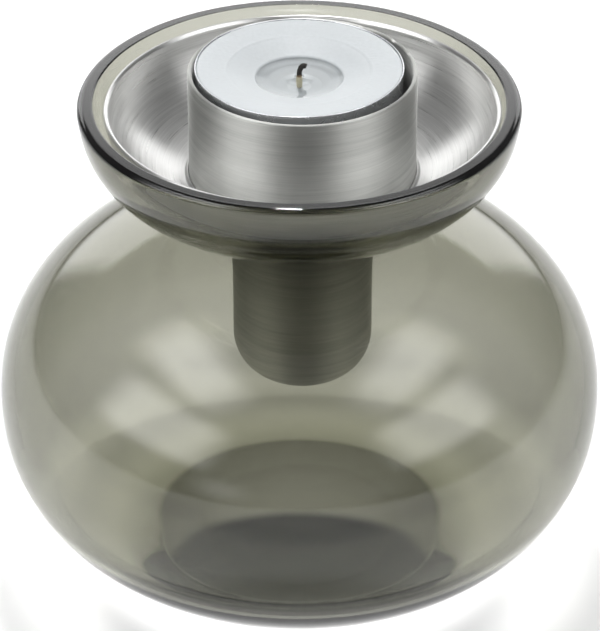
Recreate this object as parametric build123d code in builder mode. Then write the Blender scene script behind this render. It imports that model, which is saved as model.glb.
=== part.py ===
from build123d import *
import os
from math import acos, asin, cos, sin

# Glass candlestick: a round smoked-glass body, a steel insert that lifts out of its neck, and a
# tealight that lifts out of the insert. Under the tealight the insert has a socket for a taper.
# Millimetres, +Z up. The origin is on the axis of the glass, in the plane that it stands on.

os.makedirs("parts", exist_ok=True)

# Glass body. Its belly is two rounded ovals that meet at the widest height. "power" is how full
# an oval is: 2 is an ellipse, and more is squarer.
belly_radius = 57.45
belly_z = 35.4
shoulder_height = 39.66
shoulder_power = 2.06
under_height = 37.6
under_power = 2.32
wall = 2.6
floor_thickness = 4.0
inner_under_power = 2.8

# Foot: a flat ring round a shallow punt. From flank_radius in, the belly's underside runs straight
# down to the foot.
flank_radius = 38.0
foot_radius = 28.2
foot_inner_radius = 19.8
foot_edge_rounding = 1.5
punt_rise = 1.5

# Neck and the open bowl above it. The bowl's oval is widest above the lip, where it is cut off.
neck_outer_radius = 18.3
neck_bore_radius = 15.5
neck_blend_radius = 20.0
bowl_radius = 41.1
bowl_oval_z = 99.0
bowl_depth = 24.1
bowl_power = 2.63
bowl_wall = 3.0
bowl_floor_wall = 2.5
lip_top_z = 97.0
lip_outer_rounding = 1.2
lip_inner_rounding = 0.3
seat_z = 78.9
neck_edge_rounding = 0.8

# Insert. It rests a little to one side, within its play in the glass.
insert_shift = 0.6
sheet = 0.8
dish_gap = 1.2
dish_rim_z = 95.7
dish_edge_radius = 22.2
collar_sheet = 0.5
collar_rise = 0.8
collar_edge_rounding = 0.2
cup_radius = 21.15
cup_base_z = 81.0
cup_rim_z = 103.0
cup_base_rounding = 1.0
cup_corner_rounding = 0.4
sheet_edge_rounding = 0.3
socket_radius = 13.1
socket_wall = 1.2
socket_bottom_z = 38.7
socket_bottom_rounding = 8.4
socket_flange_radius = 19.6
ring_inner_radius = 15.9
ring_outer_radius = 19.2
ring_edge_rounding = 0.3

# Tealight: a thin aluminium can with a rolled rim, filled with wax round a wick.
can_height = 22.0
can_outer_radius = 19.25
can_wall = 0.3
can_bead_radius = 0.22
can_base_rounding = 1.0
wax_clearance = 0.05
wax_edge_drop = 0.3
wax_shelf_radius = 13.4
wax_shelf_drop = 0.75
pool_radius = 8.3
pool_drop = 2.6
wick_radius = 0.55
wick_clearance = 0.05
wick_free_rise = 0.9
wick_lean_radius = 4.0
wick_lean_angle = 20
wick_curl_radius = 0.75
wick_curl_angle = 95
tab_radius = 7.0
tab_thickness = 0.3
tab_neck_radius = 1.1
tab_neck_height = 6.0

# Worked out from the dimensions above.
cup_floor_z = cup_base_z + sheet
flange_under_z = cup_base_z - sheet
socket_bore_radius = socket_radius - socket_wall
can_base_z = cup_floor_z
can_rim_z = can_base_z + can_height
can_body_radius = can_outer_radius - can_bead_radius
can_inner_radius = can_body_radius - can_wall
can_floor_z = can_base_z + can_wall
wax_radius = can_inner_radius - wax_clearance
pool_z = can_rim_z - pool_drop

insert_plane = Plane((insert_shift, 0, 0), x_dir=(1, 0, 0), z_dir=(0, -1, 0))
insert_axis = Axis((insert_shift, 0, 0), (0, 0, 1))


def oval(radius, height, power, low_height, end_radius, steps):
    """Points on a quarter oval as (radius, height above its widest level), going up and inwards.

    They run from low_height above the widest level to where the radius is end_radius.
    """
    first = asin((low_height / height) ** (power / 2))
    last = acos((end_radius / radius) ** (power / 2))
    angles = [first + (last - first) * i / steps for i in range(steps + 1)]
    return [(radius * cos(a) ** (2 / power), height * sin(a) ** (2 / power)) for a in angles]


def above(points, level):
    return [(r, level + h) for r, h in points]


def below(points, level):
    return [(r, level - h) for r, h in points]


def bowl_points(radius, depth, cut_z, end_radius):
    """One wall of the bowl from the height cut_z down to end_radius, the dish's walls included."""
    return below(oval(radius, depth, bowl_power, bowl_oval_z - cut_z, end_radius, 8), bowl_oval_z)


def bowl_cut_radius(radius, depth, z):
    """Radius at the height z of a bowl wall with that oval."""
    return radius * (1 - ((bowl_oval_z - z) / depth) ** bowl_power) ** (1 / bowl_power)


# The glass body is one blown piece: belly, neck and bowl.
outer_under = below(oval(belly_radius, under_height, under_power, 0, flank_radius, 8), belly_z)
outer_shoulder = above(
    oval(belly_radius, shoulder_height, shoulder_power, 0, neck_blend_radius, 8), belly_z
)
outer_lip_z = lip_top_z - lip_outer_rounding
outer_bowl = bowl_points(bowl_radius, bowl_depth, outer_lip_z, neck_blend_radius)
neck_middle_z = (outer_shoulder[-1][1] + outer_bowl[-1][1]) / 2
outer_wall = outer_under[::-1] + outer_shoulder[1:] + [(neck_outer_radius, neck_middle_z)]
outer_wall += outer_bowl[::-1]

inner_belly_radius = belly_radius - wall
inner_under_height = belly_z - floor_thickness
inner_shoulder_height = shoulder_height - wall
inner_under = below(
    oval(inner_belly_radius, inner_under_height, inner_under_power, 0, 0, 8), belly_z
)
inner_shoulder = above(
    oval(inner_belly_radius, inner_shoulder_height, shoulder_power, 0, neck_bore_radius, 8), belly_z
)
inner_wall = inner_under[::-1] + inner_shoulder[1:]

inner_bowl_radius = bowl_radius - bowl_wall
inner_bowl_depth = bowl_depth - bowl_floor_wall
seat_outer_radius = bowl_cut_radius(inner_bowl_radius, inner_bowl_depth, seat_z)
inner_lip_z = lip_top_z - lip_inner_rounding
inner_bowl = bowl_points(inner_bowl_radius, inner_bowl_depth, inner_lip_z, seat_outer_radius)

with BuildPart() as glass_body:
    with BuildSketch(Plane.XZ):
        with BuildLine():
            ThreePointArc(
                (0, punt_rise), (foot_inner_radius / 2, punt_rise * 0.75), (foot_inner_radius, 0)
            )
            Polyline((foot_inner_radius, 0), (foot_radius, 0), outer_wall[0])
            Spline(*outer_wall)
            outer_edge = JernArc(outer_bowl[0], (0, 1), lip_outer_rounding, 90)
            inner_edge = JernArc(inner_bowl[0], (0, 1), lip_inner_rounding, -90)
            Line(outer_edge @ 1, inner_edge @ 1)
            Spline(*inner_bowl)
            Polyline(
                inner_bowl[-1],
                (neck_bore_radius, seat_z),
                inner_shoulder[-1],
            )
            Spline(*inner_wall[::-1])
            Line((0, floor_thickness), (0, punt_rise))
        make_face()
    revolve(axis=Axis.Z)
    bore_edges = glass_body.edges().filter_by(
        lambda edge: edge.geom_type == GeomType.CIRCLE and abs(edge.radius - neck_bore_radius) < 0.01
    )
    fillet(bore_edges, radius=neck_edge_rounding)
    foot_edge = glass_body.edges().filter_by(
        lambda edge: edge.geom_type == GeomType.CIRCLE and abs(edge.radius - foot_radius) < 0.01
    )
    fillet(foot_edge, radius=foot_edge_rounding)
glass_body.part.label = "glass_body"
export_step(glass_body.part, "parts/glass_body.step")

# The drip dish is spun sheet that lies inside the bowl. The edge of its hole is turned up into a
# collar that grips the cup.
dish_outer_radius = inner_bowl_radius - dish_gap
dish_outer_depth = inner_bowl_depth - dish_gap - 0.3
dish_inner_radius = dish_outer_radius - sheet
dish_inner_depth = dish_outer_depth - sheet
collar_outer_radius = cup_radius + collar_sheet
dish_under = bowl_points(dish_outer_radius, dish_outer_depth, dish_rim_z, dish_edge_radius)
dish_top = bowl_points(dish_inner_radius, dish_inner_depth, dish_rim_z, dish_edge_radius)
collar_top_z = dish_top[-1][1] + collar_rise

with BuildPart() as drip_dish:
    with BuildSketch(insert_plane):
        with BuildLine():
            Spline(*dish_top)
            Polyline(
                dish_top[-1],
                (collar_outer_radius, dish_top[-1][1]),
                (collar_outer_radius, collar_top_z),
                (cup_radius, collar_top_z),
                (cup_radius, dish_under[-1][1]),
                dish_under[-1],
            )
            Spline(*dish_under[::-1])
            Line(dish_under[0], dish_top[0])
        make_face()
    revolve(axis=insert_axis)
    fillet(drip_dish.edges().group_by(Axis.Z)[-1], radius=sheet_edge_rounding)
    collar_edges = drip_dish.edges().filter_by(
        lambda edge: edge.geom_type == GeomType.CIRCLE and abs(edge.center().Z - collar_top_z) < 0.01
    )
    fillet(collar_edges, radius=collar_edge_rounding)
drip_dish.part.label = "drip_dish"
export_step(drip_dish.part, "parts/drip_dish.step")

# The tealight cup is open to the socket through the hole in its floor.
with BuildPart() as tealight_cup:
    with BuildSketch(insert_plane):
        with BuildLine():
            Polyline(
                (socket_bore_radius, cup_base_z),
                (cup_radius, cup_base_z),
                (cup_radius, cup_rim_z),
                (cup_radius - sheet, cup_rim_z),
                (cup_radius - sheet, cup_floor_z),
                (socket_bore_radius, cup_floor_z),
                close=True,
            )
        make_face()
    revolve(axis=insert_axis)
    fillet(tealight_cup.edges().group_by(Axis.Z)[-1], radius=sheet_edge_rounding)
    base_edge = tealight_cup.edges().group_by(Axis.Z)[0].sort_by(SortBy.RADIUS)[-1]
    fillet(base_edge, radius=cup_base_rounding)
    corner_edge = tealight_cup.edges().filter_by(
        lambda edge: edge.geom_type == GeomType.CIRCLE
        and abs(edge.radius - (cup_radius - sheet)) < 0.01
        and abs(edge.center().Z - cup_floor_z) < 0.01
    )
    fillet(corner_edge, radius=cup_corner_rounding)
tealight_cup.part.label = "tealight_cup"
export_step(tealight_cup.part, "parts/tealight_cup.step")

# The taper socket hangs from a flange under the cup's floor and has a closed, rounded bottom.
with BuildPart() as taper_socket:
    with BuildSketch(insert_plane):
        with BuildLine():
            inner_bottom_z = socket_bottom_z + socket_wall
            Polyline(
                (0, socket_bottom_z),
                (socket_radius, socket_bottom_z),
                (socket_radius, flange_under_z),
                (socket_flange_radius, flange_under_z),
                (socket_flange_radius, cup_base_z),
                (socket_bore_radius, cup_base_z),
                (socket_bore_radius, inner_bottom_z),
                (0, inner_bottom_z),
                close=True,
            )
        make_face()
    revolve(axis=insert_axis)
    bottom_edges = taper_socket.edges().filter_by(GeomType.CIRCLE).sort_by(Axis.Z)
    fillet(bottom_edges[0], radius=socket_bottom_rounding)
    inner_edge = taper_socket.edges().filter_by(
        lambda edge: edge.geom_type == GeomType.CIRCLE
        and abs(edge.radius - socket_bore_radius) < 0.01
        and abs(edge.center().Z - inner_bottom_z) < 0.01
    )
    fillet(inner_edge, radius=socket_bottom_rounding - socket_wall)
taper_socket.part.label = "taper_socket"
export_step(taper_socket.part, "parts/taper_socket.step")

# A soft ring between the socket's flange and the flat seat round the glass neck.
with BuildPart() as seat_ring:
    with BuildSketch(insert_plane):
        with BuildLine():
            Polyline(
                (ring_inner_radius, seat_z),
                (ring_outer_radius, seat_z),
                (ring_outer_radius, flange_under_z),
                (ring_inner_radius, flange_under_z),
                close=True,
            )
        make_face()
    revolve(axis=insert_axis)
    fillet(seat_ring.edges().filter_by(GeomType.CIRCLE), radius=ring_edge_rounding)
seat_ring.part.label = "seat_ring"
export_step(seat_ring.part, "parts/seat_ring.step")

# The tealight stands on the cup's floor, on the axis of the glass.
with BuildPart() as tealight_can:
    with BuildSketch(Plane.XZ):
        with BuildLine():
            bead_z = can_rim_z - can_bead_radius
            Line((0, can_base_z), (can_body_radius, can_base_z))
            Line((can_body_radius, can_base_z), (can_body_radius, bead_z - can_bead_radius))
            ThreePointArc(
                (can_body_radius, bead_z - can_bead_radius),
                (can_outer_radius, bead_z),
                (can_body_radius, can_rim_z),
            )
            ThreePointArc(
                (can_body_radius, can_rim_z),
                (can_body_radius - can_wall * 0.7, can_rim_z - can_wall * 0.3),
                (can_inner_radius, can_rim_z - can_wall),
            )
            Polyline(
                (can_inner_radius, can_rim_z - can_wall),
                (can_inner_radius, can_floor_z),
                (0, can_floor_z),
                (0, can_base_z),
            )
        make_face()
    revolve(axis=Axis.Z)
    can_base_edge = tealight_can.edges().filter_by(GeomType.CIRCLE).group_by(Axis.Z)[0]
    fillet(can_base_edge, radius=can_base_rounding)
    can_corner_edge = tealight_can.edges().filter_by(
        lambda edge: edge.geom_type == GeomType.CIRCLE
        and abs(edge.radius - can_inner_radius) < 0.01
        and abs(edge.center().Z - can_floor_z) < 0.01
    )
    fillet(can_corner_edge, radius=can_base_rounding - can_wall)
tealight_can.part.label = "tealight_can"
export_step(tealight_can.part, "parts/tealight_can.step")

# Wax, with a shelf that steps down to the pool round the wick, and room for the wick and its tab.
with BuildPart() as wax:
    with BuildSketch(Plane.XZ):
        with BuildLine():
            wax_edge = (wax_radius, can_rim_z - wax_edge_drop)
            Polyline((0, can_floor_z), (wax_radius, can_floor_z), wax_edge)
            Spline(
                wax_edge,
                (wax_shelf_radius, can_rim_z - wax_shelf_drop),
                (pool_radius, pool_z),
                tangents=[(-1, -0.05), (-1, -0.3)],
            )
            Polyline((pool_radius, pool_z), (0, pool_z), (0, can_floor_z))
        make_face()
    revolve(axis=Axis.Z)
    fillet(wax.edges().filter_by(GeomType.CIRCLE).group_by(Axis.Z)[0], radius=can_base_rounding)
    with BuildSketch(Plane.XY.offset(can_floor_z)):
        Circle(tab_radius + wick_clearance)
    extrude(amount=tab_thickness + wick_clearance, mode=Mode.SUBTRACT)
    with BuildSketch(Plane.XY.offset(can_floor_z)):
        Circle(tab_neck_radius + wick_clearance)
    extrude(amount=tab_neck_height + wick_clearance, mode=Mode.SUBTRACT)
    with BuildSketch(Plane.XY.offset(can_floor_z)):
        Circle(wick_radius + wick_clearance)
    extrude(amount=can_height, mode=Mode.SUBTRACT)
wax.part.label = "wax"
export_step(wax.part, "parts/wax.step")

# The metal tab that holds the wick upright: a disc with a collar.
with BuildPart() as wick_sustainer:
    with BuildSketch(Plane.XY.offset(can_floor_z)):
        Circle(tab_radius)
        Circle(wick_radius + wick_clearance, mode=Mode.SUBTRACT)
    extrude(amount=tab_thickness)
    with BuildSketch(Plane.XY.offset(can_floor_z)):
        Circle(tab_neck_radius)
        Circle(wick_radius + wick_clearance, mode=Mode.SUBTRACT)
    extrude(amount=tab_neck_height)
wick_sustainer.part.label = "wick_sustainer"
export_step(wick_sustainer.part, "parts/wick_sustainer.step")

# The wick runs straight up through the wax. Its free end leans and curls over to +X.
wick_base_z = can_floor_z + tab_thickness
wick_bend_z = pool_z + wick_free_rise

with BuildPart() as wick:
    with BuildLine(Plane.XZ):
        Line((0, wick_base_z), (0, wick_bend_z))
        lean = JernArc((0, wick_bend_z), (0, 1), wick_lean_radius, -wick_lean_angle)
        JernArc(lean @ 1, lean % 1, wick_curl_radius, -wick_curl_angle)
    with BuildSketch(Plane.XY.offset(wick_base_z)):
        Circle(wick_radius)
    sweep()
wick.part.label = "wick"
export_step(wick.part, "parts/wick.step")
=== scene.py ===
from math import acos, asin, cos, degrees, exp, hypot, pi, radians, sin, tan

import bmesh
import bpy
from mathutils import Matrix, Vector, noise


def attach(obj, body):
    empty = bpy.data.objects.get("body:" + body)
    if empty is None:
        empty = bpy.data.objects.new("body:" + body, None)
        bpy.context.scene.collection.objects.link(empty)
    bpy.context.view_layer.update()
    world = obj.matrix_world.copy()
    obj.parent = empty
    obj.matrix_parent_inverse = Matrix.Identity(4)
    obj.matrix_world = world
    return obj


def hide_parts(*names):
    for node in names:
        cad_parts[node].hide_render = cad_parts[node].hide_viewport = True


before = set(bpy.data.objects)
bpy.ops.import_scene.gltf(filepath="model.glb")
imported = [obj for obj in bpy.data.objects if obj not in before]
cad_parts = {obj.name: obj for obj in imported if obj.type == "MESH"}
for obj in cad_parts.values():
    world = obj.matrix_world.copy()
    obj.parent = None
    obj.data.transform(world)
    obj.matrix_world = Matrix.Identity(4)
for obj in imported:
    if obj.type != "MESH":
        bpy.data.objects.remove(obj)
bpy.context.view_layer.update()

# Glass candlestick with a steel insert and a tealight, in a white studio. +Z is up, and the camera
# stands on the -Y side. The object's sizes and outlines are in millimetres, and MM turns them into
# metres. The studio and what the material nodes read are in metres. An outline is a list of
# (distance from the axis, height) points.
MM = 0.001


# ---------------------------------------------------------------- profiles and lathes

OVAL_STEPS = 40
ON_AXIS = 1e-6
LONGEST_STRETCH, END_MARGIN = 1.2, 0.12


def oval(radius, height, power, low_height, end_radius):
    """Quarter of a rounded oval as (radius, height above its widest level), going up and inwards."""
    first = asin((low_height / height) ** (power / 2))
    last = acos((end_radius / radius) ** (power / 2))
    angles = [first + (last - first) * i / OVAL_STEPS for i in range(OVAL_STEPS + 1)]
    return [(radius * cos(a) ** (2 / power), height * sin(a) ** (2 / power)) for a in angles]


def above(points, level):
    return [(r, level + h) for r, h in points]


def below(points, level):
    return [(r, level - h) for r, h in points]


def hermite(start, start_pull, end, end_pull, steps):
    """Smooth curve between two points, without them. A pull is its direction and stiffness at that end."""
    points = []
    for i in range(1, steps):
        t = i / steps
        weights = (2 * t**3 - 3 * t**2 + 1, t**3 - 2 * t**2 + t, -2 * t**3 + 3 * t**2, t**3 - t**2)
        values = (start, start_pull, end, end_pull)
        points.append(tuple(sum(w * v[k] for w, v in zip(weights, values)) for k in (0, 1)))
    return points


def arc(centre, radius, first, last, steps):
    """Points on an arc, with angles in degrees from outwards (0) towards up (90)."""
    angles = [radians(first + (last - first) * i / steps) for i in range(steps + 1)]
    return [(centre[0] + radius * cos(a), centre[1] + radius * sin(a)) for a in angles]


def rounded(corners, steps=6):
    """Closed outline from (r, z, rounding) corners, each corner replaced by a small arc."""
    outline = []
    count = len(corners)
    for i, (r, z, rounding) in enumerate(corners):
        if rounding == 0:
            outline.append((r, z))
            continue
        here = Vector((r, z))
        back = (Vector(corners[i - 1][:2]) - here).normalized()
        ahead = (Vector(corners[(i + 1) % count][:2]) - here).normalized()
        half = back.angle(ahead) / 2
        reach = rounding / tan(half)
        centre = here + (back + ahead).normalized() * (rounding / sin(half))
        start = here + back * reach - centre
        end = here + ahead * reach - centre
        turn = start.angle(end)
        for j in range(steps + 1):
            t = j / steps
            spot = centre + (start * sin((1 - t) * turn) + end * sin(t * turn)) / sin(turn)
            outline.append((spot.x, spot.y))
    return outline


def rounded_corner(before, corner, after, radius):
    """Arc that replaces an open outline's corner, with both its ends."""
    return rounded([(*before, 0), (*corner, radius), (*after, 0)])[1:-1]


def neighbours(items, closed):
    """Each item with the next one, and the last with the first where the line is closed."""
    return list(zip(items, items[1:] + items[:1] if closed else items[1:]))


def supported(outline, closed):
    """Adds points along long straight stretches and near their ends, so that smooth shading stays true."""
    points = []
    for a, b in neighbours(outline, closed):
        points.append(a)
        length = hypot(b[0] - a[0], b[1] - a[1])
        if length > LONGEST_STRETCH:
            count = round(length / LONGEST_STRETCH)
            spots = [END_MARGIN] + [length * i / count for i in range(1, count)] + [length - END_MARGIN]
            points += [(a[0] + (b[0] - a[0]) * s / length, a[1] + (b[1] - a[1]) * s / length) for s in spots]
    if not closed:
        points.append(outline[-1])
    return points


def add_object(name, data):
    """Puts a mesh, a lamp or a lens into the scene as an object."""
    obj = bpy.data.objects.new(name, data)
    bpy.context.scene.collection.objects.link(obj)
    return obj


def smooth_solid(name, verts, faces):
    mesh = bpy.data.meshes.new(name)
    mesh.from_pydata(verts, [], faces)
    mesh.validate()
    mesh.shade_smooth()
    return add_object(name, mesh)


def band(low, high):
    """Faces between two rings of vertices. A ring of one vertex is a point on the axis."""
    if len(low) == 1 and len(high) == 1:
        return []
    sides = max(len(low), len(high))
    steps = [(k, (k + 1) % sides) for k in range(sides)]
    if len(low) == 1:
        return [(low[0], high[n], high[k]) for k, n in steps]
    if len(high) == 1:
        return [(low[k], low[n], high[0]) for k, n in steps]
    return [(low[k], low[n], high[n], high[k]) for k, n in steps]


def lathe(name, outline, closed=True, axis_x=0.0, segments=192, ripple=None):
    """Solid of revolution from an outline. ripple(r, z, angle) may move a point."""
    verts = []
    rings = []
    for r, z in outline:
        if r < ON_AXIS:
            rings.append([len(verts)])
            verts.append((axis_x * MM, 0.0, z * MM))
            continue
        rings.append(list(range(len(verts), len(verts) + segments)))
        for k in range(segments):
            a = 2 * pi * k / segments
            pr, pz = ripple(r, z, a) if ripple else (r, z)
            verts.append(((axis_x + pr * cos(a)) * MM, pr * sin(a) * MM, pz * MM))
    faces = [face for low, high in neighbours(rings, closed) for face in band(low, high)]
    return smooth_solid(name, verts, faces)


def face_outwards(obj):
    bm = bmesh.new()
    bm.from_mesh(obj.data)
    bmesh.ops.recalc_face_normals(bm, faces=bm.faces)
    bm.to_mesh(obj.data)
    bm.free()


def dress(obj, material, body, slot, *nodes):
    """Gives a finished piece its material and body, and hides the CAD nodes that it stands for. Its slot is
    not used.
    """
    face_outwards(obj)
    obj.data.materials.clear()
    obj.data.materials.append(material)
    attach(obj, body)
    if nodes:
        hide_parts(*nodes)


# ---------------------------------------------------------------- material nodes


def new_material(name):
    material = bpy.data.materials.new(name)
    material.use_nodes = True
    tree = material.node_tree
    tree.nodes.clear()
    output = tree.nodes.new("ShaderNodeOutputMaterial")
    return material, tree, output


def node(tree, kind, inputs=None, **settings):
    """Makes a node. Each of its inputs is a plain value, or the socket that feeds it."""
    made = tree.nodes.new("ShaderNode" + kind)
    for key, value in settings.items():
        setattr(made, key, value)
    for key, value in (inputs or {}).items():
        if isinstance(value, bpy.types.NodeSocket):
            tree.links.new(value, made.inputs[key])
        else:
            made.inputs[key].default_value = value
    return made


def math_node(tree, operation, *values):
    return node(tree, "Math", dict(enumerate(values)), operation=operation).outputs[0]


def vector_node(tree, operation, *values):
    made = node(tree, "VectorMath", dict(enumerate(values)), operation=operation)
    return made.outputs["Value" if operation == "LENGTH" else "Vector"]


def ramp(tree, value, start, end, low=0.0, high=1.0, shape="LINEAR"):
    """Goes from low to high as value goes from start to end."""
    settings = {"Value": value, "From Min": start, "From Max": end, "To Min": low, "To Max": high}
    return node(tree, "MapRange", settings, interpolation_type=shape).outputs["Result"]


def soft_ramp(tree, value, start, end, low=0.0, high=1.0):
    """The same, but it eases in and out."""
    return ramp(tree, value, start, end, low, high, "SMOOTHSTEP")


def mix_numbers(tree, factor, first, second):
    return node(tree, "Mix", {0: factor, 2: first, 3: second}).outputs[0]


def mix_colours(tree, factor, first, second):
    return node(tree, "Mix", {0: factor, 6: first, 7: second}, data_type="RGBA").outputs[2]


def scaled(colour, factor):
    """A colour made darker or lighter, with its alpha."""
    return tuple(factor * c for c in colour) + (1,)


# ---------------------------------------------------------------- materials

GLASS_TINT, GLASS_DENSITY, GLASS_IOR = (0.62, 0.62, 0.555, 1), 640.0, 1.5
WAX_TINT, WAX_IOR, WAX_ROUGHNESS = (0.97, 0.985, 0.985, 1), 1.44, 0.01
GLASS_LAMP_SHARE, WAX_LAMP_SHARE = 0.9, 0.97
# Brushing, as repeats per metre along and across the streaks, and detail. Depths are in metres.
FINE_STREAKS, BROAD_STREAKS = (90.0, 5200.0, 3.0), (45.0, 1100.0, 2.0)
STREAK_DARK, STREAK_LIGHT, STREAK_ROUGHNESS, STREAK_DEPTH = 0.80, 1.13, 0.07, 0.00003
SPECK_DARK, SPECK_LIGHT, SPECK_ROUGHNESS, SPECK_DEPTH = 0.92, 1.08, 0.15, 0.00002
# Noise values between which the roughness or the colour changes.
STREAK_ROUGH_RANGE, STREAK_COLOUR_RANGE, SPECK_ROUGH_RANGE = (0.6, 1.4), (0.65, 1.35), (0.3, 0.7)


def clear_surface(tree, tint, roughness, ior, lamp_share):
    """Clear surface. Lamp light crosses it unbent, so that what is behind isn't left in a black shadow."""
    values = {"Base Color": tint, "Roughness": roughness, "IOR": ior, "Transmission Weight": 1.0}
    surface = node(tree, "BsdfPrincipled", values).outputs[0]
    shadow_ray = node(tree, "LightPath").outputs["Is Shadow Ray"]
    open_air = node(tree, "BsdfTransparent", {"Color": (lamp_share, lamp_share, lamp_share, 1)}).outputs[0]
    return node(tree, "MixShader", {0: shadow_ray, 1: surface, 2: open_air}).outputs[0]


def smoked_glass():
    """Clear smoke-grey glass. The tint is absorption in the wall, so thick glass is darker."""
    material, tree, output = new_material("smoked_glass")
    surface = clear_surface(tree, (1, 1, 1, 1), 0.0, GLASS_IOR, GLASS_LAMP_SHARE)
    smoke = node(tree, "VolumeAbsorption", {"Color": GLASS_TINT, "Density": GLASS_DENSITY})
    tree.links.new(surface, output.inputs["Surface"])
    tree.links.new(smoke.outputs[0], output.inputs["Volume"])
    return material


def melted_wax():
    """Clear liquid with a trace of milkiness."""
    material, tree, output = new_material("melted_wax")
    surface = clear_surface(tree, WAX_TINT, WAX_ROUGHNESS, WAX_IOR, WAX_LAMP_SHARE)
    tree.links.new(surface, output.inputs["Surface"])
    return material


def streaks(tree, sideways, across, along_scale, across_scale, detail):
    """Noise drawn out round the axis: sideways has its X and Y, and across runs over the streaks."""
    place = {axis: math_node(tree, "MULTIPLY", sideways[axis], along_scale) for axis in ("X", "Y")}
    place["Z"] = math_node(tree, "MULTIPLY", across, across_scale)
    place = node(tree, "CombineXYZ", place).outputs[0]
    return node(tree, "TexNoise", {"Vector": place, "Scale": 1.0, "Detail": detail}).outputs["Fac"]


def spun_steel(name, axis_x, roughness, tone, concentric=False):
    """Steel brushed round an upright axis. Concentric brushing also has streaks on a level face."""
    material, tree, output = new_material(name)
    where = node(tree, "TexCoord").outputs["Object"]
    centred = vector_node(tree, "SUBTRACT", where, (axis_x * MM, 0, 0))
    flat = vector_node(tree, "MULTIPLY", centred, (1, 1, 0))
    across = node(tree, "SeparateXYZ", {0: centred}).outputs["Z"]
    if concentric:
        across = math_node(tree, "ADD", vector_node(tree, "LENGTH", flat), across)
    sideways = node(tree, "SeparateXYZ", {0: flat}).outputs
    fine = streaks(tree, sideways, across, *FINE_STREAKS)
    broad = streaks(tree, sideways, across, *BROAD_STREAKS)
    both = math_node(tree, "ADD", fine, broad)
    low, high = roughness - STREAK_ROUGHNESS, roughness + STREAK_ROUGHNESS
    rough = ramp(tree, both, *STREAK_ROUGH_RANGE, low, high)
    shade = ramp(tree, both, *STREAK_COLOUR_RANGE)
    colour = mix_colours(tree, shade, scaled(tone, STREAK_DARK), scaled(tone, STREAK_LIGHT))
    bump = node(tree, "Bump", {"Strength": 0.4, "Distance": STREAK_DEPTH, "Height": both}).outputs["Normal"]
    tangent = node(tree, "Tangent", direction_type="RADIAL", axis="Z").outputs["Tangent"]
    surface = node(
        tree,
        "BsdfPrincipled",
        {
            "Base Color": colour,
            "Metallic": 1.0,
            "Roughness": rough,
            "Anisotropic": 0.92,
            "Anisotropic Rotation": 0.25,
            "Normal": bump,
            "Tangent": tangent,
        },
    )
    tree.links.new(surface.outputs[0], output.inputs["Surface"])
    return material


def plain(name, colour, roughness, metallic=0.0, grain=2500.0, **sockets):
    """Even material with a fine grain in its colour, roughness and surface. grain is specks per metre."""
    material, tree, output = new_material(name)
    where = node(tree, "TexCoord").outputs["Object"]
    speck = node(tree, "TexNoise", {"Vector": where, "Scale": grain, "Detail": 4.0}).outputs["Fac"]
    low, high = roughness * (1 - SPECK_ROUGHNESS), roughness * (1 + SPECK_ROUGHNESS)
    rough = ramp(tree, speck, *SPECK_ROUGH_RANGE, low, high)
    shade = mix_colours(tree, speck, scaled(colour, SPECK_DARK), scaled(colour, SPECK_LIGHT))
    bump = node(tree, "Bump", {"Strength": 0.3, "Distance": SPECK_DEPTH, "Height": speck}).outputs["Normal"]
    sockets = {key.replace("_", " "): value for key, value in sockets.items()}
    surface = node(
        tree,
        "BsdfPrincipled",
        {"Base Color": shade, "Metallic": metallic, "Roughness": rough, "Normal": bump, **sockets},
    )
    tree.links.new(surface.outputs[0], output.inputs["Surface"])
    return material


# ---------------------------------------------------------------- glass body

BELLY_RADIUS, BELLY_Z = 57.45, 35.4
SHOULDER_HEIGHT, SHOULDER_POWER = 39.66, 2.06
UNDER_HEIGHT, UNDER_POWER = 37.6, 2.32
FLANK_RADIUS, FOOT_RADIUS = 38.0, 28.2
WALL, FLOOR_THICKNESS, INNER_UNDER_POWER = 2.6, 4.0, 2.8
FOOT_INNER_RADIUS, FOOT_EDGE_ROUNDING, PUNT_RISE, PUNT_STEPS = 19.8, 1.5, 0.9, 12
NECK_OUTER_RADIUS, NECK_BORE_RADIUS, NECK_BLEND_RADIUS = 18.3, 15.5, 20.0
BORE_EDGE_ROUNDING, BORE_FLARE, BORE_FLARE_RISE = 0.8, 1.2, 1.5
BOWL_RADIUS, BOWL_OVAL_Z, BOWL_DEPTH, BOWL_POWER = 41.1, 99.0, 24.1, 2.63
BOWL_WALL, BOWL_FLOOR_WALL = 3.0, 2.5
LIP_TOP_Z, LIP_OUTER_ROUNDING, LIP_INNER_ROUNDING, LIP_MARGIN = 97.0, 1.2, 0.3, 0.1
SEAT_Z = 78.9
# Pulls of the curves that join the belly, the neck and the bowl.
SHOULDER_PULL, WAIST_PULL, BOWL_PULL, NECK_STEPS = (-2.6, 0.5), (0.0, 2.4), (2.6, 0.8), 8
BORE_PULL, INNER_SHOULDER_PULL, BORE_STEPS = (0.0, -2.0), (1.8, -0.5), 6
OUTER_LIP_Z = LIP_TOP_Z - LIP_OUTER_ROUNDING
INNER_LIP_Z = LIP_TOP_Z - LIP_INNER_ROUNDING
BOWL_INNER_RADIUS = BOWL_RADIUS - BOWL_WALL
BOWL_INNER_DEPTH = BOWL_DEPTH - BOWL_FLOOR_WALL


def bowl_points(radius, depth, top_z, end_radius):
    """Side of a bowl, from its top down and inwards."""
    return below(oval(radius, depth, BOWL_POWER, BOWL_OVAL_Z - top_z, end_radius), BOWL_OVAL_Z)


def bowl_radius_at(radius, depth, z):
    return radius * (1 - ((BOWL_OVAL_Z - z) / depth) ** BOWL_POWER) ** (1 / BOWL_POWER)


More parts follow.
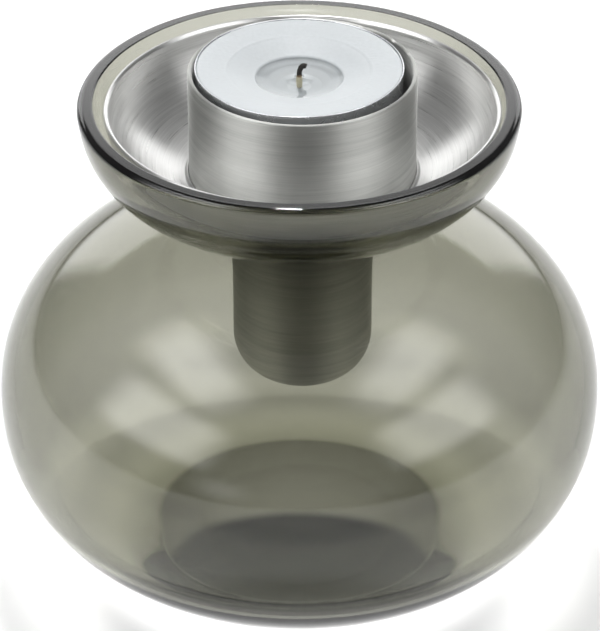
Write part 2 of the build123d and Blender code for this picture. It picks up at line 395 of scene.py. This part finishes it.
def belly_outside():
    """Punt, foot and belly, from the middle of the punt to where the neck begins."""
    shares = [i / PUNT_STEPS for i in range(PUNT_STEPS + 1)]
    punt = [(FOOT_INNER_RADIUS * s, PUNT_RISE * (1 - s**2)) for s in shares]
    under = below(oval(BELLY_RADIUS, UNDER_HEIGHT, UNDER_POWER, 0, FLANK_RADIUS), BELLY_Z)
    under += rounded_corner(under[-1], (FOOT_RADIUS, 0.0), (FOOT_INNER_RADIUS, 0.0), FOOT_EDGE_ROUNDING)
    shoulder = above(oval(BELLY_RADIUS, SHOULDER_HEIGHT, SHOULDER_POWER, 0, NECK_BLEND_RADIUS), BELLY_Z)
    return punt + under[::-1] + shoulder[1:]


def lip(outer_radius, inner_radius):
    """Flat top of the lip between its two rounded edges."""
    outer = arc((outer_radius - LIP_OUTER_ROUNDING, OUTER_LIP_Z), LIP_OUTER_ROUNDING, 0, 90, steps=14)[1:]
    inner = arc((inner_radius + LIP_INNER_ROUNDING, INNER_LIP_Z), LIP_INNER_ROUNDING, 90, 180, steps=8)[:-1]
    flat = [(outer[-1][0] - LIP_MARGIN, LIP_TOP_Z), (inner[0][0] + LIP_MARGIN, LIP_TOP_Z)]
    return outer + flat + inner


def belly_inside():
    """Edge of the bore, the bore, and the inside of the belly down to the middle of its floor."""
    radius = BELLY_RADIUS - WALL
    end_radius = NECK_BORE_RADIUS + BORE_FLARE
    shoulder = above(oval(radius, SHOULDER_HEIGHT - WALL, SHOULDER_POWER, 0, end_radius), BELLY_Z)[::-1]
    under = below(oval(radius, BELLY_Z - FLOOR_THICKNESS, INNER_UNDER_POWER, 0, 0), BELLY_Z)[1:]
    under[-1] = (0.0, FLOOR_THICKNESS)
    edge_centre = (NECK_BORE_RADIUS + BORE_EDGE_ROUNDING, SEAT_Z - BORE_EDGE_ROUNDING)
    bore = arc(edge_centre, BORE_EDGE_ROUNDING, 90, 180, steps=6)
    bore.append((NECK_BORE_RADIUS, shoulder[0][1] + BORE_FLARE_RISE))
    bore += hermite(bore[-1], BORE_PULL, shoulder[0], INNER_SHOULDER_PULL, BORE_STEPS)
    return bore + shoulder + under


def glass_outline():
    """Out under the foot, up the outside, over the lip and down the inside."""
    belly = belly_outside()
    outer_bowl = bowl_points(BOWL_RADIUS, BOWL_DEPTH, OUTER_LIP_Z, NECK_BLEND_RADIUS)[::-1]
    waist = (NECK_OUTER_RADIUS, (belly[-1][1] + outer_bowl[0][1]) / 2)
    neck = hermite(belly[-1], SHOULDER_PULL, waist, WAIST_PULL, NECK_STEPS) + [waist]
    neck += hermite(waist, WAIST_PULL, outer_bowl[0], BOWL_PULL, NECK_STEPS)
    seat_radius = bowl_radius_at(BOWL_INNER_RADIUS, BOWL_INNER_DEPTH, SEAT_Z)
    inner_bowl = bowl_points(BOWL_INNER_RADIUS, BOWL_INNER_DEPTH, INNER_LIP_Z, seat_radius)
    return belly + neck + outer_bowl + lip(outer_bowl[-1][0], inner_bowl[0][0]) + inner_bowl + belly_inside()


glass = lathe("glass_shell", glass_outline(), segments=256)
dress(glass, smoked_glass(), "glass", "smoked_glass", "glass_body")

# ---------------------------------------------------------------- steel insert

INSERT_SHIFT = 0.6
SHEET = 0.8
DISH_GAP, DISH_FLOOR_GAP, DISH_RIM_Z, DISH_RIM_DROP, DISH_EDGE_RADIUS = 1.2, 0.3, 95.7, 0.3, 22.2
COLLAR_SHEET, COLLAR_RISE, COLLAR_ROUNDING = 0.5, 0.8, 0.22
COLLAR_PLAY, COLLAR_BEND_RISE, COLLAR_TOP_BEVEL, COLLAR_FOOT_BEVEL = 0.01, 0.25, 0.1, 0.3
DISH_PULL, COLLAR_PULL = (-0.8, -0.15), (0.0, 0.7)
CUP_RADIUS, CUP_BASE_Z, CUP_RIM_Z = 21.15, 81.0, 103.0
CUP_BASE_ROUNDING, CUP_RIM_ROUNDING, CUP_FLOOR_ROUNDING = 1.0, 0.3, 0.4
SOCKET_RADIUS, SOCKET_WALL, SOCKET_BOTTOM_Z, SOCKET_ROUNDING = 13.1, 1.2, 38.7, 8.4
SOCKET_FLANGE_RADIUS, FLANGE_ROOT_ROUNDING, FLANGE_ROUNDING = 19.6, 0.5, 0.2
RING_INNER, RING_OUTER, RING_ROUNDING = 15.9, 19.2, 0.3
BROKEN_EDGE = 0.1
SOCKET_BORE = SOCKET_RADIUS - SOCKET_WALL
FLANGE_UNDER_Z = CUP_BASE_Z - SHEET
CUP_FLOOR_Z = CUP_BASE_Z + SHEET
# Small dents in the cup's rim, as (angle and width in degrees, depth), and how far down they reach.
NICKS = ((34, 1.6, 0.22), (20, 2.2, 0.15), (57, 1.2, 0.12), (151, 1.4, 0.10))
NICK_REACH = 0.9


def dish_outline():
    """Up the underside, over the rolled rim, down the top and round the collar that grips the cup."""
    radius = BOWL_INNER_RADIUS - DISH_GAP
    depth = BOWL_INNER_DEPTH - DISH_GAP - DISH_FLOOR_GAP
    side_top_z = DISH_RIM_Z - DISH_RIM_DROP
    under = bowl_points(radius, depth, side_top_z, DISH_EDGE_RADIUS)
    top = bowl_points(radius - SHEET, depth - SHEET, side_top_z, DISH_EDGE_RADIUS)
    rim_radius = (under[0][0] - top[0][0]) / 2
    rim = arc((top[0][0] + rim_radius, DISH_RIM_Z - rim_radius), rim_radius, 0, 180, steps=12)[1:-1]
    under_z, floor_z = under[-1][1], top[-1][1]
    collar_inner = CUP_RADIUS + COLLAR_PLAY
    bend = (CUP_RADIUS + COLLAR_SHEET, floor_z + COLLAR_BEND_RISE)
    collar_top_z = floor_z + COLLAR_RISE
    edge_centre = (bend[0] - COLLAR_ROUNDING, collar_top_z - COLLAR_ROUNDING)
    collar = hermite(top[-1], DISH_PULL, bend, COLLAR_PULL, steps=6) + [bend]
    collar += arc(edge_centre, COLLAR_ROUNDING, 0, 90, steps=6)
    collar += [(collar_inner, collar_top_z - COLLAR_TOP_BEVEL), (collar_inner, under_z + COLLAR_FOOT_BEVEL)]
    collar += [(collar_inner + COLLAR_FOOT_BEVEL, under_z)]
    return under[::-1] + rim + top + collar


def cup_outline():
    inner = CUP_RADIUS - SHEET
    corners = [
        (SOCKET_BORE, CUP_BASE_Z, BROKEN_EDGE),
        (CUP_RADIUS, CUP_BASE_Z, CUP_BASE_ROUNDING),
        (CUP_RADIUS, CUP_RIM_Z, CUP_RIM_ROUNDING),
        (inner, CUP_RIM_Z, CUP_RIM_ROUNDING),
        (inner, CUP_FLOOR_Z, CUP_FLOOR_ROUNDING),
        (SOCKET_BORE, CUP_FLOOR_Z, BROKEN_EDGE),
    ]
    return supported(rounded(corners), closed=True)


def rim_nicks(r, z, angle):
    """Lowers the cup's rim at its small dents."""
    over = z - CUP_RIM_Z + NICK_REACH
    if over < 0:
        return r, z
    drop = sum(depth * exp(-(((degrees(angle) - middle) / width) ** 2)) for middle, width, depth in NICKS)
    return r, z - drop * over / NICK_REACH


def socket_outline():
    inner_bottom_z = SOCKET_BOTTOM_Z + SOCKET_WALL
    corners = [
        (0.0, SOCKET_BOTTOM_Z, 0),
        (SOCKET_RADIUS, SOCKET_BOTTOM_Z, SOCKET_ROUNDING),
        (SOCKET_RADIUS, FLANGE_UNDER_Z, FLANGE_ROOT_ROUNDING),
        (SOCKET_FLANGE_RADIUS, FLANGE_UNDER_Z, FLANGE_ROUNDING),
        (SOCKET_FLANGE_RADIUS, CUP_BASE_Z, BROKEN_EDGE),
        (SOCKET_BORE, CUP_BASE_Z, BROKEN_EDGE),
        (SOCKET_BORE, inner_bottom_z, SOCKET_ROUNDING - SOCKET_WALL),
        (0.0, inner_bottom_z, 0),
    ]
    return supported(rounded(corners, steps=14), closed=False)


def ring_outline():
    low, high = SEAT_Z, FLANGE_UNDER_Z
    corners = ((RING_INNER, low), (RING_OUTER, low), (RING_OUTER, high), (RING_INNER, high))
    return rounded([(r, z, RING_ROUNDING) for r, z in corners])


# The dish, cup and socket are one brushed steel; each tone is set lighter or darker to match how bright that
# piece looks, which is painted light and shade.
dish_steel = spun_steel("dish_steel", INSERT_SHIFT, 0.32, (0.66, 0.66, 0.65), concentric=True)
cup_steel = spun_steel("cup_steel", INSERT_SHIFT, 0.60, (0.55, 0.555, 0.535))
socket_steel = spun_steel("socket_steel", INSERT_SHIFT, 0.60, (0.68, 0.68, 0.64))
ring_rubber = plain("ring_rubber", (0.025, 0.025, 0.025), 0.55)
dish = lathe("spun_dish", dish_outline(), axis_x=INSERT_SHIFT, segments=256)
dress(dish, dish_steel, "insert", "brushed_steel", "drip_dish")
cup = lathe("candle_cup", cup_outline(), axis_x=INSERT_SHIFT, segments=512, ripple=rim_nicks)
dress(cup, cup_steel, "insert", "brushed_steel", "tealight_cup")
socket = lathe("socket_tube", socket_outline(), closed=False, axis_x=INSERT_SHIFT)
dress(socket, socket_steel, "insert", "brushed_steel", "taper_socket")
ring = lathe("silicone_ring", ring_outline(), axis_x=INSERT_SHIFT)
dress(ring, ring_rubber, "insert", "ring_rubber", "seat_ring")

# ---------------------------------------------------------------- tealight can and wax

CAN_RIM_Z, CAN_OUTER, CAN_WALL, CAN_BEAD = 103.8, 19.25, 0.15, 0.12
CAN_CORNER, CAN_INNER_CORNER, CAN_BEAD_MARGIN = 1.0, 0.7, 0.05
CAN_BASE_Z = CUP_FLOOR_Z
CAN_BODY = CAN_OUTER - CAN_BEAD
CAN_INNER = CAN_BODY - CAN_WALL
CAN_FLOOR_Z = CAN_BASE_Z + CAN_WALL
WAX_PLAY, WAX_FLOOR_GAP, WAX_BASE_WIDTH, WAX_BASE_RISE = 0.04, 0.4, 1.0, 1.2
WAX_RADIUS = CAN_INNER - WAX_PLAY
WAX_EDGE_BEVEL, WAX_EDGE_DROP = 0.12, 0.15
WAX_SHELF_RADIUS, POOL_RADIUS = 13.4, 8.0
WAX_EDGE_Z, WAX_SHELF_Z, WAX_STEP_Z, POOL_Z = 103.7, 103.2, 101.7, 101.2
# The wax sinks from its edge to a shelf, then over a small step and a slope to the melted pool's bed.
EDGE_PULL, SHELF_PULL, SLOPE_PULL = (-5, 0.1), (-4.0, -0.3), (-5, -1.0)
SHELF_STEP_WIDTH, SHELF_STEP_DROP = 0.3, 0.14
SLOPE_END_WIDTH, SLOPE_END_RISE, BED_EDGE_WIDTH, BED_EDGE_DROP = 0.3, 0.12, 0.1, 0.25
POOL_BED = [(7.5, -0.5), (6.0, -1.7), (4.2, -2.8), (2.2, -3.5), (0.0, -3.8)]
# Frosting, as (height, repeats per millimetre, shift).
FROST_GRAINS = ((0.035, 2.2, (0, 0, 0)), (0.026, 5.0, (7, 3, 1)))
FROST_SWELL, FROST_SWELL_SCALE, FROST_SWELL_SHIFT = 0.03, 0.35, (2, 9, 4)
FROST_WALL_GAP, FROST_LEAST, FROST_FADE_START, FROST_FADE_WIDTH = 0.3, 0.15, 0.6, 1.2
# The melted wax creeps into the wax round it, and climbs at its edge and at the wick.
POOL_SINK, POOL_OVERLAP, POOL_EDGE_DROP, POOL_EDGE_WIDTH = 0.08, 0.04, 0.2, 2.6
POOL_EDGE_PULL, POOL_FLAT_PULL, POOL_FLAT_RADII = (-1.2, -0.5), (-2.4, 0), (4.0, 3.0)
CLIMB_RADIUS, CLIMB_TOP_RADIUS, CLIMB_INNER_RADIUS, CLIMB_RISE = 2.6, 0.6, 0.56, 0.5
CLIMB_START_PULL, CLIMB_END_PULL = (-2.0, 0), (-0.5, 0.9)


def can_outline():
    """Up the outside, over the rolled bead and down the inside to the middle of the floor."""
    bead_z = CAN_RIM_Z - CAN_BEAD
    outline = [(0.0, CAN_BASE_Z)]
    outline += arc((CAN_BODY - CAN_CORNER, CAN_BASE_Z + CAN_CORNER), CAN_CORNER, -90, 0, steps=8)
    outline += [(CAN_BODY, bead_z - CAN_BEAD - CAN_BEAD_MARGIN)]
    outline += arc((CAN_BODY, bead_z), CAN_BEAD, -90, 90, steps=10)
    outline += arc((CAN_BODY, CAN_RIM_Z - CAN_WALL), CAN_WALL, 90, 180, steps=5)[1:]
    corner_centre = (CAN_INNER - CAN_INNER_CORNER, CAN_FLOOR_Z + CAN_INNER_CORNER)
    outline += arc(corner_centre, CAN_INNER_CORNER, 0, -90, steps=6)
    outline += [(0.0, CAN_FLOOR_Z)]
    return supported(outline, closed=False)


def wax_outline():
    """Out along the base, up the side, and in over the edge, the shelf and the slope to the pool's bed."""
    base_z = CAN_FLOOR_Z + WAX_FLOOR_GAP
    edge = (WAX_RADIUS - WAX_EDGE_BEVEL, WAX_EDGE_Z)
    shelf = (WAX_SHELF_RADIUS, WAX_SHELF_Z)
    slope_top = (WAX_SHELF_RADIUS - SHELF_STEP_WIDTH, WAX_SHELF_Z - SHELF_STEP_DROP)
    slope_end = (POOL_RADIUS + SLOPE_END_WIDTH, WAX_STEP_Z + SLOPE_END_RISE)
    outline = [(0.0, base_z), (WAX_RADIUS - WAX_BASE_WIDTH, base_z)]
    outline += [(WAX_RADIUS, CAN_FLOOR_Z + WAX_BASE_RISE), (WAX_RADIUS, WAX_EDGE_Z - WAX_EDGE_DROP), edge]
    outline += hermite(edge, EDGE_PULL, shelf, SHELF_PULL, steps=20) + [shelf, slope_top]
    outline += hermite(slope_top, SLOPE_PULL, slope_end, SLOPE_PULL, steps=22) + [slope_end]
    outline += [(POOL_RADIUS + BED_EDGE_WIDTH, WAX_STEP_Z), (POOL_RADIUS, WAX_STEP_Z - BED_EDGE_DROP)]
    outline += [(r, POOL_Z + dz) for r, dz in POOL_BED]
    return supported(outline, closed=False)


def frosting(r, z, angle):
    """Sugary surface on the wax outside the part that melted, fading out over its step."""
    if z < WAX_STEP_Z or r > WAX_RADIUS - FROST_WALL_GAP:
        return r, z
    spot = Vector((r * cos(angle), r * sin(angle), 0.0))
    cover = min(1.0, max(0.0, (r - WAX_SHELF_RADIUS + FROST_FADE_START) / FROST_FADE_WIDTH))
    grain = sum(height * noise.noise(spot * scale + Vector(shift)) for height, scale, shift in FROST_GRAINS)
    swell = FROST_SWELL * noise.noise(spot * FROST_SWELL_SCALE + Vector(FROST_SWELL_SHIFT))
    return r, z + grain * (FROST_LEAST + (1 - FROST_LEAST) * cover) + swell


def pool_outline():
    """Melted wax: a flat surface that climbs a little at its edge and round the wick."""
    edge = (POOL_RADIUS + POOL_OVERLAP, WAX_STEP_Z - POOL_EDGE_DROP)
    flat_start = (POOL_RADIUS - POOL_EDGE_WIDTH, POOL_Z)
    flat_end = (CLIMB_RADIUS, POOL_Z)
    top_z = POOL_Z + CLIMB_RISE
    outline = [(r, POOL_Z + dz - POOL_SINK) for r, dz in reversed(POOL_BED)] + [edge]
    outline += hermite(edge, POOL_EDGE_PULL, flat_start, POOL_FLAT_PULL, steps=14)
    outline += [flat_start, *((r, POOL_Z) for r in POOL_FLAT_RADII), flat_end]
    outline += hermite(flat_end, CLIMB_START_PULL, (CLIMB_TOP_RADIUS, top_z), CLIMB_END_PULL, steps=10)
    outline += [(CLIMB_INNER_RADIUS, top_z), (0.0, top_z)]
    return outline


# ---------------------------------------------------------------- wick

WICK_RADIUS, WICK_SIDES, WICK_STEP = 0.5, 36, 0.12
WICK_FLOOR_GAP, WICK_PLAIN_DEPTH = 0.3, 6.0
WICK_FREE_RISE, WICK_LEAN_RADIUS, WICK_LEAN_ANGLE = 0.9, 4.0, 20.0
WICK_CURL_RADIUS, WICK_CURL_ANGLE = 0.75, 95.0
# The braid, as (depth in shares of the radius, strands, twist in radians per millimetre).
WICK_BRAID = ((0.07, 3, 5.7), (0.03, 5, -4.0))
BURNT_START, BURNT_LENGTH, BURNT_LOSS = 0.7, 0.8, 0.06
CHAR_DEPTH, CHAR_ROUND_SCALE, CHAR_ALONG_SCALE = 0.10, 1.4, 2.4
# Colours up the wick, as (height above the pool where it starts, where it is full, colour).
COTTON = (0.62, 0.56, 0.40, 1)
SCORCHED, BURNT = (0.35, 0.75, (0.20, 0.13, 0.07, 1)), (0.7, 1.1, (0.018, 0.015, 0.013, 1))
# The ash at the tip starts and is full at these distances along X from the wick's upright line.
ASH_START, ASH_FULL, ASH = 1.15, 1.45, (0.10, 0.10, 0.10, 1)
# The cotton's fibres, in repeats per metre and in metres.
FIBRE_SCALE, FIBRE_RAGGED, FIBRE_DEPTH = 3200.0, 0.0003, 0.00004


def wick_path():
    """Points and headings along the wick as (x, z, heading in radians from upright towards +x)."""
    fine_z = POOL_Z - WICK_PLAIN_DEPTH
    fine_length = WICK_FREE_RISE + WICK_PLAIN_DEPTH
    count = round(fine_length / WICK_STEP)
    path = [(0.0, CAN_FLOOR_Z + WICK_FLOOR_GAP, 0.0)]
    path += [(0.0, fine_z + fine_length * i / count, 0.0) for i in range(count + 1)]
    for radius, angle in ((WICK_LEAN_RADIUS, WICK_LEAN_ANGLE), (WICK_CURL_RADIUS, WICK_CURL_ANGLE)):
        x, z, heading = path[-1]
        count = round(radius * radians(angle) / WICK_STEP)
        for i in range(1, count + 1):
            turn = heading + radians(angle) * i / count
            across, up = radius * (cos(heading) - cos(turn)), radius * (sin(turn) - sin(heading))
            path.append((x + across, z + up, turn))
    return path


def braided_wick():
    """Strands wound round one another, thinner and rougher at the burnt end."""
    path = wick_path()
    verts = []
    length = 0.0
    for i, (x, z, heading) in enumerate(path):
        if i:
            length += hypot(x - path[i - 1][0], z - path[i - 1][1])
        burnt = min(1.0, max(0.0, (z - POOL_Z - BURNT_START) / BURNT_LENGTH))
        for k in range(WICK_SIDES):
            a = 2 * pi * k / WICK_SIDES
            braid = sum(depth * cos(strands * a + length * twist) for depth, strands, twist in WICK_BRAID)
            around = Vector((cos(a) * CHAR_ROUND_SCALE, sin(a) * CHAR_ROUND_SCALE, length * CHAR_ALONG_SCALE))
            char = CHAR_DEPTH * burnt * noise.noise(around)
            r = WICK_RADIUS * (1 + braid + char - BURNT_LOSS * burnt)
            out = r * cos(a)
            verts.append(((x + out * cos(heading)) * MM, r * sin(a) * MM, (z - out * sin(heading)) * MM))
    rings = [list(range(start, start + WICK_SIDES)) for start in range(0, len(verts), WICK_SIDES)]
    faces = [face for low, high in neighbours(rings, closed=False) for face in band(low, high)]
    return smooth_solid("braided_wick", verts, faces + [tuple(rings[0]), tuple(rings[-1])])


def charred_cotton():
    """Cotton that is pale in the wax, scorched just above it, then black, and ash-grey at the tip."""
    material, tree, output = new_material("charred_cotton")
    where = node(tree, "TexCoord").outputs["Object"]
    parts = node(tree, "SeparateXYZ", {0: where}).outputs
    fibre = node(tree, "TexNoise", {"Vector": where, "Scale": FIBRE_SCALE, "Detail": 3.0}).outputs["Fac"]
    level = math_node(tree, "ADD", parts["Z"], ramp(tree, fibre, 0.0, 1.0, -FIBRE_RAGGED, FIBRE_RAGGED))
    colour = COTTON
    for start, full, tint in (SCORCHED, BURNT):
        blend = ramp(tree, level, (POOL_Z + start) * MM, (POOL_Z + full) * MM)
        colour = mix_colours(tree, blend, colour, tint)
    colour = mix_colours(tree, ramp(tree, parts["X"], ASH_START * MM, ASH_FULL * MM), colour, ASH)
    bump = node(tree, "Bump", {"Strength": 0.5, "Distance": FIBRE_DEPTH, "Height": fibre}).outputs["Normal"]
    surface = node(tree, "BsdfPrincipled", {"Base Color": colour, "Roughness": 0.85, "Normal": bump})
    tree.links.new(surface.outputs[0], output.inputs["Surface"])
    return material


# ---------------------------------------------------------------- tealight pieces

can_foil = plain("can_foil", (0.56, 0.57, 0.59), 0.25, metallic=1.0, grain=900.0)
white_wax = plain(
    "white_wax",
    (0.46, 0.485, 0.50),
    0.45,
    grain=1400.0,
    Subsurface_Weight=0.5,
    Subsurface_Radius=(1.0, 1.0, 1.0),
    Subsurface_Scale=0.0015,
)
tab_steel = plain("tab_steel", (0.6, 0.6, 0.58), 0.3, metallic=1.0)

can = lathe("foil_can", can_outline(), closed=False)
dress(can, can_foil, "tealight", "can_aluminium", "tealight_can")
wax = lathe("wax_ring", wax_outline(), closed=False, segments=384, ripple=frosting)
dress(wax, white_wax, "tealight", "candle_wax", "wax")
pool = lathe("melted_pool", pool_outline(), closed=False, segments=128)
dress(pool, melted_wax(), "tealight", "candle_wax")
dress(braided_wick(), charred_cotton(), "tealight", "wick_cotton", "wick")
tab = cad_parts["wick_sustainer"]
tab.data.materials.clear()
tab.data.materials.append(tab_steel)

# ---------------------------------------------------------------- table and room

OBJECT_MIDDLE = Vector((0, 0, 0.05))
TABLE_SIDE = 6.0
# The table's painted light, a glow where 1 is white that stands in for the light the glass gathers, with a
# pool of light behind the glass and the insert's shadow painted in, and the table's colour with painted
# shadows. A pair named EDGE or FADE is where a change starts and ends, as a distance from the axis or from
# the centre that is named beside it.
# HALO_FRONT_FADE and FRONT_TO_BACK go along Y instead, and ROOM_FADE is the Y of a direction.
HALO_CENTRE, HALO_SQUEEZE, HALO_FADE, HALO_LIGHT = (-0.01, 0.10, 0), (1.3, 0.8, 1), (0.105, 0.18), 0.18
HALO_FRONT_FADE = (-0.085, -0.04)
INSERT_SHADOW_CENTRE, INSERT_SHADOW_EDGE = (0, -0.028, 0), (0.0285, 0.0325)
PUNT_EDGE, PUNT_LIGHT, FOOT_LIGHT = (0.018, 0.021), 0.9, 0.72
FOOT_EDGE = (0.0275, 0.0295)
RING_FADE, RING_LIGHT, RING_EDGE_LIGHT = (0.034, 0.046), 1.55, 0.75
FRONT_TO_BACK, FRONT_SHARE, BACK_SHARE = (-0.04, 0.05), 0.8, 1.05
BELLY_EDGE = (0.05, 0.065)
# Painted shadow in the table's colour in front of the belly, and painted shade under the foot.
CONTACT_SHADOW_CENTRE, CONTACT_SHADOW_SQUEEZE, CONTACT_SHADOW_EDGE = (0, -0.022, 0), (1.5, 1, 1), (0.046, 0.07)
CONTACT_SHADOW_START_EDGE = (0.038, 0.048)
FOOT_SHADOW_TONE, CONTACT_SHADOW_TONE, TABLE_WHITENESS = 0.1, 0.2, 0.9
ROOM_FRONT_LIGHT, ROOM_BACK_LIGHT, ROOM_FADE = 0.18, 0.22, (-0.8, 0.4)


def flat_sheet(name, width, height):
    w, h = width / 2, height / 2
    mesh = bpy.data.meshes.new(name)
    mesh.from_pydata([(-w, -h, 0), (w, -h, 0), (w, h, 0), (-w, h, 0)], [], [(0, 1, 2, 3)])
    return add_object(name, mesh)


def distance_from(tree, where, centre, squeeze=(1, 1, 1)):
    """Distance from a centre on the table. Squeezed by 2 along an axis, a circle becomes half as wide."""
    away = vector_node(tree, "SUBTRACT", where, centre)
    return vector_node(tree, "LENGTH", vector_node(tree, "MULTIPLY", away, squeeze))


def painted_table_light(tree, where):
    """Painted light on the table: a pool of light behind the glass, and the light that the glass gathers
    under itself, with the insert's shadow painted into it.
    """
    radius = vector_node(tree, "LENGTH", where)
    y = node(tree, "SeparateXYZ", {0: where}).outputs["Y"]
    halo = soft_ramp(tree, distance_from(tree, where, HALO_CENTRE, HALO_SQUEEZE), *HALO_FADE, HALO_LIGHT, 0.0)
    halo = math_node(tree, "MULTIPLY", halo, soft_ramp(tree, y, *HALO_FRONT_FADE))
    foot = soft_ramp(tree, radius, *PUNT_EDGE, PUNT_LIGHT, FOOT_LIGHT)
    # The insert's shadow is painted into the table's glow under the foot.
    unshadowed = soft_ramp(tree, distance_from(tree, where, INSERT_SHADOW_CENTRE), *INSERT_SHADOW_EDGE)
    foot = math_node(tree, "MULTIPLY", unshadowed, foot)
    ring = soft_ramp(tree, radius, *RING_FADE, RING_LIGHT, RING_EDGE_LIGHT)
    gathered = mix_numbers(tree, soft_ramp(tree, radius, *FOOT_EDGE), foot, ring)
    gathered = math_node(tree, "MULTIPLY", gathered, ramp(tree, y, *FRONT_TO_BACK, FRONT_SHARE, BACK_SHARE))
    return mix_numbers(tree, soft_ramp(tree, radius, *BELLY_EDGE, 1.0, 0.0), halo, gathered)


def table_tone_with_painted_shadows(tree, where):
    """White, with a painted shadow where the belly stands close over the table in front, and painted shade
    under the foot.
    """
    radius = vector_node(tree, "LENGTH", where)
    from_contact = distance_from(tree, where, CONTACT_SHADOW_CENTRE, CONTACT_SHADOW_SQUEEZE)
    tone = soft_ramp(tree, from_contact, *CONTACT_SHADOW_EDGE, CONTACT_SHADOW_TONE, TABLE_WHITENESS)
    tone = mix_numbers(tree, soft_ramp(tree, radius, *CONTACT_SHADOW_START_EDGE), TABLE_WHITENESS, tone)
    return mix_numbers(tree, soft_ramp(tree, radius, *FOOT_EDGE), FOOT_SHADOW_TONE, tone)


def table_with_painted_light():
    """Table top with painted light and shade: its glow stands in for the light that the glass gathers on it,
    and its colour holds painted shadows.
    """
    obj = flat_sheet("studio_floor", TABLE_SIDE, TABLE_SIDE)
    material, tree, output = new_material("table_painted_light_and_shade")
    where = node(tree, "TexCoord").outputs["Object"]
    surface = node(tree, "BsdfDiffuse", {"Color": table_tone_with_painted_shadows(tree, where)}).outputs[0]
    # The glow is painted light on the table, not a lamp.
    glow = node(tree, "Emission", {"Color": (1, 1, 1, 1), "Strength": painted_table_light(tree, where)}).outputs[0]
    tree.links.new(node(tree, "AddShader", {0: surface, 1: glow}).outputs[0], output.inputs["Surface"])
    material.cycles.emission_sampling = "NONE"
    obj.data.materials.append(material)


def white_room():
    """Even studio walls, dimmer on the camera's side."""
    world = bpy.data.worlds.new("white_room")
    bpy.context.scene.world = world
    world.use_nodes = True
    tree = world.node_tree
    direction = node(tree, "SeparateXYZ", {0: node(tree, "TexCoord").outputs["Generated"]}).outputs
    level = soft_ramp(tree, direction["Y"], *ROOM_FADE, ROOM_FRONT_LIGHT, ROOM_BACK_LIGHT)
    background = tree.nodes["Background"]
    background.inputs["Color"].default_value = (1, 1, 1, 1)
    tree.links.new(level, background.inputs["Strength"])
    world.cycles.sampling_method = "NONE"


# ---------------------------------------------------------------- lamps and camera

# Each softbox, as (azimuth, elevation, distance), (width, height), strength, and the share of each
# half that fades. Azimuth 0 is behind the object and 90 is on the viewer's right.
SOFTBOXES = {
    "backdrop_card": ((0, 18.3, 1.6), (2.6, 0.94), 2.4, 0.26),
    "back_top_softbox": ((0, 44, 1.0), (0.6, 0.42), 2.4, 0.8),
    "left_softbox": ((-120, 33, 1.0), (1.1, 0.62), 4.0, 0.6),
    "right_softbox": ((120, 33, 1.0), (1.05, 0.62), 3.4, 0.6),
    "left_fill": ((-106, 60, 1.0), (1.0, 0.5), 4.8, 0.8),
    "right_fill": ((106, 60, 1.0), (1.0, 0.5), 4.0, 0.8),
    "left_low_fill": ((-152, 9, 1.0), (0.5, 0.35), 1.4, 1.0),
    "right_low_fill": ((152, 9, 1.0), (0.5, 0.35), 0.4, 1.0),
}
KEY_PLACE, KEY_SIZE, KEY_POWER = (-3, 67, 1.2), 0.08, 4.2
CAMERA_CENTRE, CAMERA_AIM = Vector((0, 0, 0.0445)), Vector((0.00013, 0, 0.0501))
CAMERA_DISTANCE, CAMERA_ELEVATION = 0.700, 32.3
LENS, SENSOR_WIDTH, NEAREST_SEEN = 208.3, 36.0, 0.01


def toward(azimuth, elevation, distance):
    """A spot in that direction and at that distance from the foot's centre."""
    a, e = radians(azimuth), radians(elevation)
    return Vector((distance * cos(e) * sin(a), distance * cos(e) * cos(a), distance * sin(e)))


def point_at(obj, spot, target, forward):
    """Stands an object on a spot with its forward axis towards a target."""
    obj.location = spot
    obj.rotation_euler = (target - spot).to_track_quat(forward, "Y").to_euler()


def glow_card(name, place, size, strength, fade):
    """Softbox: a card that faces the object, thins out at its edges, and is unseen by the camera itself."""
    card = flat_sheet(name, *size)
    point_at(card, toward(*place), OBJECT_MIDDLE, "Z")
    card.visible_camera = False
    material, tree, output = new_material(name)
    parts = node(tree, "SeparateXYZ", {0: node(tree, "TexCoord").outputs["Object"]}).outputs
    cover = 1.0
    for axis, side in zip(("X", "Y"), size):
        half = side / 2
        fall = soft_ramp(tree, math_node(tree, "ABSOLUTE", parts[axis]), half * (1 - fade), half, 1.0, 0.0)
        cover = math_node(tree, "MULTIPLY", fall, cover)
    glow = node(tree, "Emission", {"Strength": strength}).outputs[0]
    open_air = node(tree, "BsdfTransparent").outputs[0]
    both = node(tree, "MixShader", {0: cover, 1: open_air, 2: glow})
    tree.links.new(both.outputs[0], output.inputs["Surface"])
    material.cycles.emission_sampling = "NONE"
    card.data.materials.append(material)


def key_light():
    """Small round lamp high up behind the object, which isn't seen through the glass."""
    lamp = bpy.data.lights.new("key_light", "AREA")
    lamp.shape = "DISK"
    lamp.size = KEY_SIZE
    lamp.energy = KEY_POWER
    obj = add_object("key_light", lamp)
    point_at(obj, toward(*KEY_PLACE), OBJECT_MIDDLE, "-Z")
    obj.visible_transmission = False


def camera():
    lens = bpy.data.cameras.new("camera")
    lens.lens = LENS
    lens.sensor_width = SENSOR_WIDTH
    lens.clip_start = NEAREST_SEEN
    obj = add_object("camera", lens)
    elevation = radians(CAMERA_ELEVATION)
    spot = CAMERA_CENTRE + CAMERA_DISTANCE * Vector((0, -cos(elevation), sin(elevation)))
    point_at(obj, spot, CAMERA_AIM, "-Z")
    bpy.context.scene.camera = obj


camera()
table_with_painted_light()
white_room()
for name, settings in SOFTBOXES.items():
    glow_card(name, *settings)
key_light()

scene = bpy.context.scene
scene.view_settings.view_transform = "Standard"
scene.cycles.use_denoising = True
scene.cycles.max_bounces = 24
scene.cycles.transmission_bounces = 24
scene.cycles.glossy_bounces = 8
